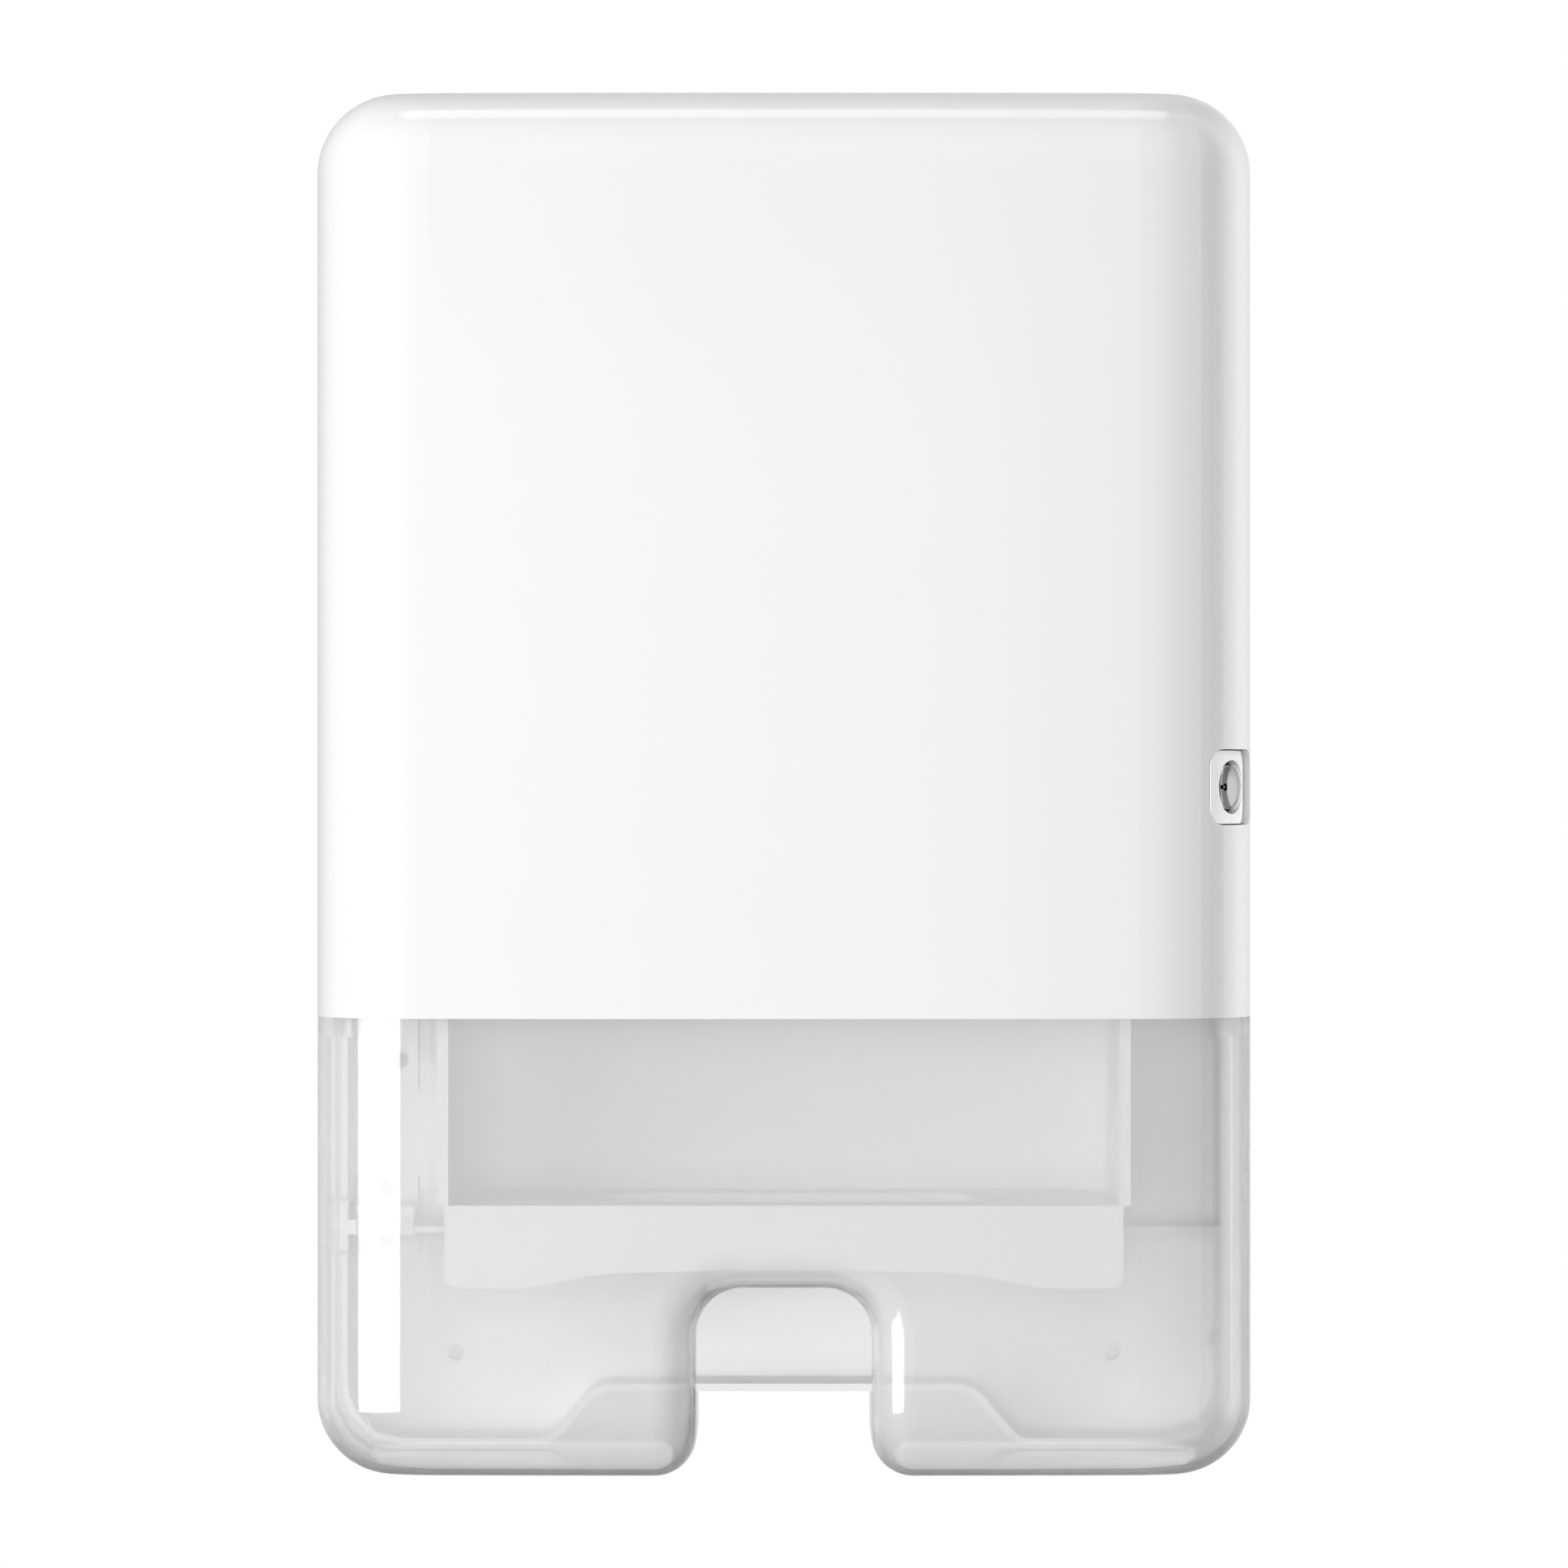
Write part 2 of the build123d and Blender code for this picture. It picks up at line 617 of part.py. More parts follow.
def guide_clip():
    low, step, high = (SHELF_TOP + rise for rise in (CLIP_BOTTOM, CLIP_STEP, CLIP_TOP))
    clip = block(CLIP_LEFT, CLIP_RIGHT, PANEL_FRONT, PANEL_FRONT + GUIDE, low, high)
    rail = CLIP_RIGHT - CLIP_RAIL
    clip += block(rail, CLIP_RIGHT, PANEL_FRONT, PANEL_FRONT + 3 * GUIDE, step, high)
    for x, z in clip_screws_at():
        clip -= small_bore(x, z, SCREW_R + SCREW_CLEAR, 0, PANEL_FRONT + 2 * GUIDE)
    return clip


def lip_face():
    """Front lip of the shelf, with its gently wavy lower edge."""
    w, knee = SHELF_HALF, SHELF_HALF - LIP_KNEE
    end_z, rise = SHELF_TOP - LIP_END_DROP, LIP_END_DROP - LIP_MID_DROP
    half_wave = [(1, 0), (0.72, 0.55), (0.35, 0.8)]
    wave = [(share * knee, end_z + up * rise) for share, up in half_wave] + [(0, end_z + rise)]
    wave += [(-x, z) for x, z in reversed(wave[:-1])]
    frame = Polyline((-knee, end_z), (-w, end_z), (-w, SHELF_TOP), (w, SHELF_TOP), (w, end_z), (knee, end_z))
    face = make_face([Spline(*wave, tangents=((-1, 0), (-1, 0))), frame])
    corners = [v for v in face.vertices() if abs(v.X) > w - 1 and v.Y < end_z + 1]
    return fillet(corners, 4)


def dispensing_shelf():
    w = SHELF_HALF
    under = SHELF_TOP - SHELF_FLOOR
    outlet_depth = (OUTLET_BACK + OUTLET_FRONT) / 2
    outlet_size = (2 * OUTLET_HALF, OUTLET_FRONT - OUTLET_BACK)
    shelf = block(-w, w, PANEL_FRONT, GUIDE_FRONT, under, SHELF_TOP)
    collar = RectangleRounded(outlet_size[0] + 2 * COLLAR, outlet_size[1] + 2 * COLLAR, OUTLET_R + COLLAR)
    shelf += Pos(0, -outlet_depth, under - COLLAR_DROP) * extrude(collar, COLLAR_DROP)
    outlet = extrude(RectangleRounded(*outlet_size, OUTLET_R), 4 * COLLAR_DROP)
    shelf -= Pos(0, -outlet_depth, under - 2 * COLLAR_DROP) * outlet
    shelf += front_plate(lip_face(), GUIDE_FRONT - LIP, GUIDE_FRONT)
    low = SHELF_TOP - LIP_END_DROP
    shelf += block(-w, w, PANEL_FRONT, PANEL_FRONT + LIP, low, SHELF_TOP)
    cheek = Plane.YZ * make_face(Polyline(
        (-CHEEK_BACK, SHELF_TOP), (-GUIDE_FRONT + 1, SHELF_TOP), (-GUIDE_FRONT + 1, low + 4),
        (-GUIDE_FRONT + LIP + 2, low + 1), (-GUIDE_FRONT + CHEEK_FOOT, low + 1), close=True,
    ))
    for x in (-w, w - LIP):
        shelf += Pos(x, 0, 0) * extrude(cheek, LIP, dir=(1, 0, 0))
    for x in (-STIFFENER_X, STIFFENER_X):
        rib = block(-RIB / 2, RIB / 2, PANEL_FRONT + 1, GUIDE_FRONT - 1, under - 2 * COLLAR_DROP, under + 1)
        shelf += Pos(x, 0, 0) * rib
    for x, z in shelf_screws_at():
        shelf -= small_bore(x, z, SCREW_R + SCREW_CLEAR, 0, PANEL_FRONT + LIP + 1)
    return shelf


# Hinge

def hinge_bracket(z):
    """Fork on the back panel that holds the hinge pin at both ends."""
    right = FORK_END
    left = HALF_W - COVER_WALL - HOUSING_GAP - HOUSING_WALL - 0.3
    front = HOUSING_DEPTH - 1
    points = [
        (right, PANEL_FRONT), (HINGE_X, PANEL_FRONT), (-left, HINGE_DEPTH - 10), (-left, front),
        (right, front),
    ]
    plate = plan_plate(points, z - FORK_HALF, z + FORK_HALF)
    plate += upright(HINGE_X, HINGE_DEPTH, FORK_BOSS_R, z - FORK_HALF, z + FORK_HALF)
    gap = ARM_THICK / 2 + ARM_GAP
    plate -= block(-HALF_W, right - FORK_WEB, HINGE_DEPTH - EYE_R - 2, DEPTH, z - gap, z + gap)
    low, high = z - FORK_FLANGE_HALF, z + FORK_FLANGE_HALF
    bracket = plate + block(-left, right, PANEL_FRONT, PANEL_FRONT + LIP, low, high)
    bracket -= upright(HINGE_X, HINGE_DEPTH, PIN_R + PIN_FIT, z - HINGE_Z, z + HINGE_Z)
    for x, screw_z in bracket_screws_at(z):
        bracket -= small_bore(x, screw_z, SCREW_R + SCREW_CLEAR, 0, PANEL_FRONT + LIP + 1)
    return bracket


def hinge_pin(z):
    top, tail = z + FORK_HALF, z - FORK_HALF - PIN_TAIL
    pin = upright(HINGE_X, HINGE_DEPTH, PIN_R, tail, top)
    pin = chamfer(pin.edges().sort_by(Axis.Z)[0], 0.5)
    return pin + upright(HINGE_X, HINGE_DEPTH, PIN_HEAD_R, top, top + PIN_HEAD)


def pin_clip(z):
    """Open spring ring under the fork."""
    top = z - FORK_HALF
    ring = upright(HINGE_X, HINGE_DEPTH, PIN_HEAD_R, top - RING, top)
    ring -= upright(HINGE_X, HINGE_DEPTH, PIN_R + PIN_FIT, top - 2 * RING, top + RING)
    return ring - block(HINGE_X, HINGE_X + 2 * PIN_HEAD_R, HINGE_DEPTH - 1, HINGE_DEPTH + 1, top - 2, top + 1)


def hinge_arm(z):
    """Arm from the hinge pin forward along the inside of the cover."""
    half = ARM_THICK / 2
    right = ARM_LEFT + ARM_WIDTH
    arm = block(ARM_LEFT, right, HINGE_DEPTH, ARM_END, z - half, z + half)
    arm += upright(HINGE_X, HINGE_DEPTH, EYE_R, z - half, z + half)
    arm -= upright(HINGE_X, HINGE_DEPTH, PIN_R + EYE_FIT, z - 2 * half, z + 2 * half)
    low, high = z - ARM_PAD_HALF, z + ARM_PAD_HALF
    pad = block(ARM_LEFT, ARM_LEFT + ARM_WIDTH / 2, ARM_END - ARM_PAD, ARM_END, low, high)
    arm += fillet(pad.edges().filter_by(Axis.X), 3)
    for plane in arm_screw_planes(z):
        arm -= local(plane, small_bar(SCREW_R + SCREW_CLEAR, -ARM_WIDTH, ARM_WIDTH))
        arm -= local(plane, small_bar(SCREW_HEAD_R + SCREW_CLEAR, 0, ARM_WIDTH, 12))
    return arm


def arm_screws():
    length = ARM_WIDTH / 2 + 2.4
    planes = arm_screw_planes(-HINGE_Z) + arm_screw_planes(HINGE_Z)
    return [local(plane, screw(length)) for plane in planes]


# Lock

def lock_button():
    """Square push button with a round recess for the key plug and a hollow stem."""
    body = extrude(RectangleRounded(BUTTON, BUTTON, BUTTON_CORNER), BUTTON_BODY + 2 * BUTTON_PROUD)
    body = Pos(0, 0, -BUTTON_BODY) * body
    rounded = Pos(0, 0, BUTTON_PROUD - BUTTON_FACE_R) * Rot(90, 0, 0) * Cylinder(BUTTON_FACE_R, 2 * BUTTON)
    body &= rounded
    body += bar(STEM_R, -STEM_END, -BUTTON_BODY + 1)
    body -= bar(DISH_R, -DISH_DEPTH, 2 * BUTTON_PROUD)
    body -= bar(BARREL_R + BARREL_FIT, -STEM_END - 1, 0)
    groove_top = HOUSING_FLOOR + LOCK_WALL + CAM_GAP
    groove = bar(STEM_R + 1, -groove_top - RING, -groove_top) - bar(STEM_R - STEM_GROOVE, -STEM_END, 0)
    return local(LOCK_PLANE, body - groove)


def button_ring():
    """Open ring in the stem's groove, which stops the button against the lock housing."""
    top = HOUSING_FLOOR + LOCK_WALL + CAM_GAP
    ring = bar(STEM_R + 2.2, -top - RING + 0.05, -top - 0.05)
    ring -= bar(STEM_R - STEM_GROOVE + SCREW_FIT, -STEM_END, 0)
    ring -= Pos(0, STEM_R + 2, -top) * Box(4, 8, 4)
    return local(LOCK_PLANE, ring)


def key_plug():
    """Chrome plug with a dished face, a keyway and a barrel through the button."""
    plug = bar(PLUG_HEAD_R, -DISH_DEPTH + CAM_GAP, PLUG_RIM)
    bowl = Pos(0, 0, PLUG_RIM - PLUG_BOWL_DEPTH / 2)
    plug -= bowl * Cone(PLUG_BOWL_R / 3, PLUG_BOWL_R, PLUG_BOWL_DEPTH)
    floor = PLUG_RIM - PLUG_BOWL_DEPTH
    plug -= small_bar(KEYWAY_R, -DISH_DEPTH + 1, floor + 1, 12)
    slot = Pos(-KEYWAY_REACH / 2, 0, (floor + 2 - DISH_DEPTH) / 2)
    plug -= slot * Box(KEYWAY_REACH, KEYWAY_R, floor + DISH_DEPTH)
    plug += bar(BARREL_R, -CAM_TOP, -DISH_DEPTH + 0.5)
    plug += bar(CAM_BOSS_R, -CAM_BASE, -CAM_TOP + 1)
    plug -= small_bar(SCREW_R + SCREW_FIT, -CAM_BASE - 1, -CAM_BASE + 8)
    return local(LOCK_PLANE, plug)


def lock_cam():
    cam = bar(CAM_R, -CAM_BASE, -CAM_TOP)
    arm = Pos(0, -CAM_REACH / 2, -(CAM_TOP + CAM_BASE) / 2) * Box(CAM_WIDTH, CAM_REACH, CAM)
    cam += fillet(arm.edges().filter_by(Axis.Z).sort_by(Axis.Y)[:2], 1.5)
    cam -= bar(CAM_BOSS_R + SCREW_FIT, -CAM_BASE - 1, -CAM_TOP + 1)
    return local(LOCK_PLANE, cam)


def cam_screw():
    shape = Rot(180, 0, 0) * screw(7, SCREW_R, CAM_HEAD_R, CAM_HEAD)
    return local(LOCK_PLANE, shape, z=-CAM_BASE)


def button_spring():
    """Square-wire spring, drawn in straight lengths because it is hidden."""
    low = -HOUSING_FLOOR + SPRING_WIRE / 2 + 0.15
    high = -BUTTON_BODY - SPRING_WIRE / 2 - 0.15
    steps = 12 * SPRING_TURNS
    points = []
    for step in range(steps + 1):
        angle = 2 * math.pi * SPRING_TURNS * step / steps
        rise = (high - low) * step / steps
        points.append((SPRING_R * math.cos(angle), SPRING_R * math.sin(angle), rise))
    path = Polyline(*points)
    wire = Plane(path @ 0, z_dir=path % 0) * Rectangle(SPRING_WIRE, SPRING_WIRE)
    return local(LOCK_PLANE, sweep(wire, path, transition=Transition.RIGHT), z=low)


def ledge():
    """Ledge of the lock housing that the latch tongue hooks over."""
    tip = TONGUE_X + TONGUE_GAP
    root = -HOUSING_FLOOR - LOCK_WALL
    back, front = LOCK_DEPTH - LEDGE_BACK, LOCK_DEPTH - LEDGE_BACK + LEDGE
    # The front of the ledge is square to the wall, so it meets the floor where that depth is reached.
    along = (LOCK_DEPTH + root * COS_LOCK - front) / SIN_LOCK
    points = [
        (tip, back), (tip, front), lock_point(along, root), lock_point(along, root + 1),
        lock_point(TUBE_OUT - 0.5, root + 1), lock_point(TUBE_OUT - 0.5, root),
    ]
    return [
        plan_plate(points, LOCK_Z + z0, LOCK_Z + z1)
        for z0, z1 in ((-TONGUE_HALF, -NOSE_IN), (NOSE_IN, TONGUE_HALF))
    ]


def lock_housing(room):
    """Square tube that guides the button, trimmed to the inside of the cover."""
    base = -HOUSING_FLOOR - LOCK_WALL
    tube = Pos(0, 0, base) * extrude(RectangleRounded(2 * TUBE_OUT, 2 * TUBE_OUT, BUTTON_CORNER + 2), 40)
    for way in (-1, 1):
        ear = Pos(0, way * (EAR_Y + TUBE_IN) / 2, -EAR_SEAT - EAR / 2)
        tube += ear * Box(2 * EAR_HALF, EAR_Y - TUBE_IN + 2 * EAR_HALF, EAR)
    hole = extrude(RectangleRounded(2 * TUBE_IN, 2 * TUBE_IN, BUTTON_CORNER + BUTTON_GAP), 50)
    tube -= Pos(0, 0, -HOUSING_FLOOR) * hole
    tube -= bar(STEM_R + STEM_GAP, base - 1, 0)
    for way in (-1, 1):
        tube -= Pos(0, way * EAR_Y, 0) * small_bar(SCREW_R + SCREW_CLEAR, -HOUSING_FLOOR, 0)
    housing = local(LOCK_PLANE, tube) & room
    for part in ledge():
        housing += part
    return housing


def lock_screws():
    shape = Rot(180, 0, 0) * screw(EAR + EAR_SEAT - 2)
    return [local(LOCK_PLANE, shape, y=way * EAR_Y, z=-EAR_SEAT - EAR) for way in (-1, 1)]


def latch_tongue():
    """Springy forked tongue whose noses hook over the lock housing's ledges."""
    left = TONGUE_X - TONGUE
    z0, z1 = LOCK_Z - TONGUE_HALF, LOCK_Z + TONGUE_HALF
    back = LOCK_DEPTH - LEDGE_BACK + LEDGE + LEDGE_GAP
    tip, root = back + NOSE, LOCK_DEPTH - PRONG_ROOT
    tongue = block(left, TONGUE_X, PANEL_FRONT, tip, z0, z1)
    tongue -= block(left - 1, TONGUE_X + 1, root, DEPTH, LOCK_Z - PRONG_SLOT, LOCK_Z + PRONG_SLOT)
    nose = [
        (TONGUE_X - 0.5, back), (TONGUE_X + NOSE_REACH, back), (TONGUE_X + NOSE_REACH, back + NOSE_EDGE),
        (TONGUE_X, tip), (TONGUE_X - 0.5, tip),
    ]
    tongue += plan_plate(nose, z0, LOCK_Z - NOSE_IN)
    tongue += plan_plate(nose, LOCK_Z + NOSE_IN, z1)
    tongue += block(left, TONGUE_X + TONGUE_FOOT, PANEL_FRONT, PANEL_FRONT + GUIDE, z0, z1)
    foot = TONGUE_X - 0.5
    gusset = [(foot, PANEL_FRONT), (foot, PANEL_FRONT + GUSSET_RISE), (foot + GUSSET_RUN, PANEL_FRONT + 1)]
    tongue += plan_plate(gusset, LOCK_Z - 1, LOCK_Z + 1)
    for x, z in latch_screws_at():
        tongue -= small_bore(x, z, SCREW_R + SCREW_CLEAR, 0, PANEL_FRONT + GUIDE + 1)
    return tongue


def panel_screw_group(places, seat):
    """Screws through a flange of one thickness into the back panel."""
    depth = PANEL_FRONT + seat
    shape = screw(depth - SCREW_TIP)
    return [local(front_plane(depth), shape, x, z) for x, z in places]


def save(name, shape):
    """One file for each named part; a list of solids is saved as a group."""
    if isinstance(shape, list):
        shape = Compound(children=[solid for item in shape for solid in item.solids()])
    export_step(shape, f"parts/{name}.step")


os.makedirs("parts", exist_ok=True)
cover_outside = cover_body(0)
cover_inside = cover_body(COVER_WALL)
cover_room = cover_prism(COVER_WALL + FLANGE_GAP)

save("rear_housing", rear_housing())
save("left_side_guide", left_side_guide())
save("right_side_guide", right_side_guide())
save("guide_clip", guide_clip())
save("dispensing_shelf", dispensing_shelf())
save("guide_screws", panel_screw_group(guide_screws_at(-1) + guide_screws_at(1), GUIDE))
save("shelf_screws", panel_screw_group(shelf_screws_at(), LIP))
save("clip_screws", panel_screw_group(clip_screws_at(), GUIDE))
save("hinge_bracket_lower", hinge_bracket(-HINGE_Z))
save("hinge_bracket_upper", hinge_bracket(HINGE_Z))
save("bracket_screws", panel_screw_group(bracket_screws_at(-HINGE_Z) + bracket_screws_at(HINGE_Z), LIP))
save("hinge_pin_lower", hinge_pin(-HINGE_Z))
save("hinge_pin_upper", hinge_pin(HINGE_Z))
save("pin_clips", [pin_clip(-HINGE_Z), pin_clip(HINGE_Z)])
save("latch_tongue", latch_tongue())
save("latch_screws", panel_screw_group(latch_screws_at(), GUIDE))

save("upper_cover", upper_cover(cover_outside, cover_inside))
save("lower_window", lower_window())
save("window_screws", window_screws())
save("hinge_arm_lower", hinge_arm(-HINGE_Z))
save("hinge_arm_upper", hinge_arm(HINGE_Z))
save("arm_screws", arm_screws())
save("lock_housing", lock_housing(cover_room))
save("lock_screws", lock_screws())
save("button_spring", button_spring())
save("lock_button", lock_button())
save("button_ring", button_ring())
save("key_plug", key_plug())
save("lock_cam", lock_cam())
save("cam_screw", cam_screw())
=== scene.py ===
import bpy
import json
import math
from mathutils import Matrix, Vector


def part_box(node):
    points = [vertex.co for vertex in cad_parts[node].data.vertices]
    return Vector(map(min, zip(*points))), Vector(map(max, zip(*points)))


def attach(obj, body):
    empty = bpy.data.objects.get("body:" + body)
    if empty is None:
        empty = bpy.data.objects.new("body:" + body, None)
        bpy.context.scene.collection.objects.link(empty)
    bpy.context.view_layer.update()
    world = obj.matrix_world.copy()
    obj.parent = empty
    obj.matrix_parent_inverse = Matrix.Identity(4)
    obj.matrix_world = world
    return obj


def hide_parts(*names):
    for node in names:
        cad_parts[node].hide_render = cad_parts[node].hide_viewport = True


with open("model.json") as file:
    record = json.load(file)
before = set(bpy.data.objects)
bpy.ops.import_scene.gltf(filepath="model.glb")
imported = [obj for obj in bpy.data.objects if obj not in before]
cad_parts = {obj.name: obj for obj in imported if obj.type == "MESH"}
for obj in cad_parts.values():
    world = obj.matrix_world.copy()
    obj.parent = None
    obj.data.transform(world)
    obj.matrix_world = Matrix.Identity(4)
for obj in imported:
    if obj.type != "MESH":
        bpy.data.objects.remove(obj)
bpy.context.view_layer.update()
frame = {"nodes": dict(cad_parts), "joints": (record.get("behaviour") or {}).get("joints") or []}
nodes = frame["nodes"]

# The camera looks straight at the dispenser from the room, level with its middle, as the
# photograph does.
camera_distance = 2.1
photo_camera = bpy.data.objects.new("photo_camera", bpy.data.cameras.new("photo_camera"))
bpy.context.scene.collection.objects.link(photo_camera)
photo_camera.location = (0, -camera_distance, 0)
photo_camera.rotation_euler = (math.radians(90), 0, 0)
photo_camera.data.sensor_width = 36
photo_camera.data.lens = 144.6
photo_camera.data.clip_start = 0.05
bpy.context.scene.camera = photo_camera
bpy.context.scene.view_settings.view_transform = "Standard"

# The studio is a dim room with a white backdrop behind the dispenser, which only the camera, the
# gloss and the clear plastic see. The room is darkest at the camera's right, for the grey band on
# the cover's right flank, and a dark flag stands behind on the right, for the chrome plug.
studio = bpy.data.worlds.new("studio")
bpy.context.scene.world = studio
studio.use_nodes = True
room = studio.node_tree
room.nodes.clear()


def calculated(operation, first, second):
    """A Math node of the room. Each of its two inputs is a socket or a plain number."""
    node = room.nodes.new("ShaderNodeMath")
    node.operation = operation
    for socket, given in zip(node.inputs, (first, second)):
        if isinstance(given, (int, float)):
            socket.default_value = given
        else:
            room.links.new(given, socket)
    return node.outputs[0]


def graded(source, low, high, start, end, interpolation="SMOOTHSTEP"):
    """A Map Range node of the room that turns low to high into start to end."""
    node = room.nodes.new("ShaderNodeMapRange")
    node.interpolation_type = interpolation
    node.inputs["From Min"].default_value = low
    node.inputs["From Max"].default_value = high
    node.inputs["To Min"].default_value = start
    node.inputs["To Max"].default_value = end
    room.links.new(source, node.inputs["Value"])
    return node.outputs["Result"]


direction = room.nodes.new("ShaderNodeTexCoord")
parts_of_direction = room.nodes.new("ShaderNodeSeparateXYZ")
room.links.new(direction.outputs["Generated"], parts_of_direction.inputs[0])
towards_front = calculated("MULTIPLY", parts_of_direction.outputs["Y"], -1)
azimuth = calculated("ARCTAN2", parts_of_direction.outputs["X"], towards_front)
round_the_room = graded(azimuth, -math.pi, math.pi, 0, 1, "LINEAR")


def light_by_azimuth(levels, interpolation="LINEAR"):
    """A ramp of greys over the degrees round the room: 0 is at the camera and 90 at its right."""
    node = room.nodes.new("ShaderNodeValToRGB")
    node.color_ramp.interpolation = interpolation
    stops = node.color_ramp.elements
    stops[0].position, stops[1].position = 0, 1
    for degrees, level in levels:
        if degrees == -180:
            stop = stops[0]
        elif degrees == 180:
            stop = stops[-1]
        else:
            stop = stops.new(degrees / 360 + 0.5)
        stop.color = (level, level, level, 1)
    room.links.new(round_the_room, node.inputs["Fac"])
    return node.outputs["Color"]


walls = light_by_azimuth((
    (-180, 0.25), (-110, 0.25), (-70, 0.40), (-30, 0.40), (0, 0.35),
    (30, 0.30), (50, 0.20), (80, 0.15), (105, 0.25), (180, 0.25),
), "B_SPLINE")
ceiling = graded(parts_of_direction.outputs["Z"], -0.9, 0.9, 0.18, 0.9)
soft_light = room.nodes.new("ShaderNodeBackground")
room.links.new(walls, soft_light.inputs["Color"])
room.links.new(ceiling, soft_light.inputs["Strength"])
backdrop = room.nodes.new("ShaderNodeBackground")
backdrop.inputs["Color"].default_value = (1, 1, 1, 1)
ray = room.nodes.new("ShaderNodeLightPath")
behind = light_by_azimuth((
    (-180, 1.0), (-104, 1.0), (-84, 0.0), (76, 0.0), (88, 1.0),
    (112, 1.0), (120, 0.12), (148, 0.12), (164, 1.0), (180, 1.0),
))
share_in_plastic, share_in_gloss = 0.04, 1.0
in_object = calculated(
    "MAXIMUM",
    calculated("MULTIPLY", ray.outputs["Is Transmission Ray"], share_in_plastic),
    calculated("MULTIPLY", ray.outputs["Is Glossy Ray"], share_in_gloss),
)
in_object_behind = calculated("MULTIPLY", in_object, behind)
from_the_floor = graded(parts_of_direction.outputs["Z"], -0.5, -0.1, 0.1, 0.65)
above_floor = calculated("MULTIPLY", in_object_behind, from_the_floor)
seen_white = calculated("MAXIMUM", ray.outputs["Is Camera Ray"], above_floor)
room_mix = room.nodes.new("ShaderNodeMixShader")
room.links.new(seen_white, room_mix.inputs[0])
room.links.new(soft_light.outputs[0], room_mix.inputs[1])
room.links.new(backdrop.outputs[0], room_mix.inputs[2])
room_out = room.nodes.new("ShaderNodeOutputWorld")
room.links.new(room_mix.outputs[0], room_out.inputs["Surface"])

# Lamps: a tall panel at the left, a softbox overhead for the line along the cover's top edge, a
# fill beside the camera and a rim light behind on the right, the last two kept out of the gloss.
# Each row gives the azimuth and the rise in degrees, the distance, size, power and gloss.
lamps = (
    ("left_panel", -44.0, 6.0, 2.5, (1.5, 2.4), 44.0, True),
    ("overhead_softbox", 0.0, 86.0, 1.2, (0.80, 0.30), 1.5, True),
    ("camera_fill", -3.0, -1.0, 2.2, (0.7, 0.7), 18.5, False),
    ("right_rim_light", 116.0, 5.0, 2.0, (0.6, 1.8), 60.0, False),
)
for name, turn, rise, distance, size, watts, in_gloss in lamps:
    lamp = bpy.data.lights.new(name, "AREA")
    lamp.shape = "RECTANGLE"
    lamp.size, lamp.size_y = size
    lamp.energy = watts
    softbox = bpy.data.objects.new(name, lamp)
    turn, rise = math.radians(turn), math.radians(rise)
    softbox.location = (
        distance * math.sin(turn) * math.cos(rise),
        -distance * math.cos(turn) * math.cos(rise),
        distance * math.sin(rise),
    )
    softbox.visible_glossy = in_gloss
    softbox.visible_transmission = in_gloss
    bpy.context.scene.collection.objects.link(softbox)
    aim = -softbox.location.normalized()
    softbox.rotation_euler = aim.to_track_quat("-Z", "Y").to_euler()

# The floor is a plain pale sheet well below the dispenser, which hangs on a wall.
floor_depth, floor_radius = -1.3, 0.7
bpy.ops.object.select_all(action="DESELECT")
bpy.ops.mesh.primitive_circle_add(
    vertices=96, radius=floor_radius, fill_type="NGON", location=(0, 0, floor_depth),
)
floor = bpy.context.object
floor.name = "floor"
bpy.ops.object.transform_apply(location=True, rotation=True, scale=True)
floor_paint = bpy.data.materials.new("pale_floor")
floor_paint.use_nodes = True
floor_tree = floor_paint.node_tree
floor_shader = floor_tree.nodes["Principled BSDF"]
floor_noise = floor_tree.nodes.new("ShaderNodeTexNoise")
floor_noise.inputs["Scale"].default_value = 3
floor_shade = floor_tree.nodes.new("ShaderNodeMix")
floor_shade.data_type = "RGBA"
floor_shade.inputs["A"].default_value = (0.86, 0.86, 0.86, 1)
floor_shade.inputs["B"].default_value = (0.90, 0.90, 0.90, 1)
floor_tree.links.new(floor_noise.outputs["Fac"], floor_shade.inputs["Factor"])
floor_tree.links.new(floor_shade.outputs["Result"], floor_shader.inputs["Base Color"])
floor_shader.inputs["Roughness"].default_value = 0.8
floor.data.materials.append(floor_paint)

# Every moulded surface has a faint cloudiness in its colour, a little unevenness in its
# shine and a very fine ripple from the mould. The group gives these three.
moulding = bpy.data.node_groups.new("moulded_surface", "ShaderNodeTree")
for name, kind, start in (
    ("Colour", "NodeSocketColor", (0.9, 0.9, 0.9, 1)),
    ("Cloud Colour", "NodeSocketColor", (0.86, 0.86, 0.86, 1)),
    ("Cloud Scale", "NodeSocketFloat", 9.0),
    ("Gloss Low", "NodeSocketFloat", 0.1),
    ("Gloss High", "NodeSocketFloat", 0.16),
    ("Ripple Scale", "NodeSocketFloat", 260.0),
    ("Ripple Height", "NodeSocketFloat", 0.000004),
):
    socket = moulding.interface.new_socket(name=name, in_out="INPUT", socket_type=kind)
    socket.default_value = start
for name, kind in (
    ("Colour", "NodeSocketColor"), ("Roughness", "NodeSocketFloat"), ("Normal", "NodeSocketVector"),
):
    moulding.interface.new_socket(name=name, in_out="OUTPUT", socket_type=kind)
given = moulding.nodes.new("NodeGroupInput")
result = moulding.nodes.new("NodeGroupOutput")
on_object = moulding.nodes.new("ShaderNodeTexCoord")
cloud = moulding.nodes.new("ShaderNodeTexNoise")
cloud.inputs["Detail"].default_value = 3
shade = moulding.nodes.new("ShaderNodeMix")
shade.data_type = "RGBA"
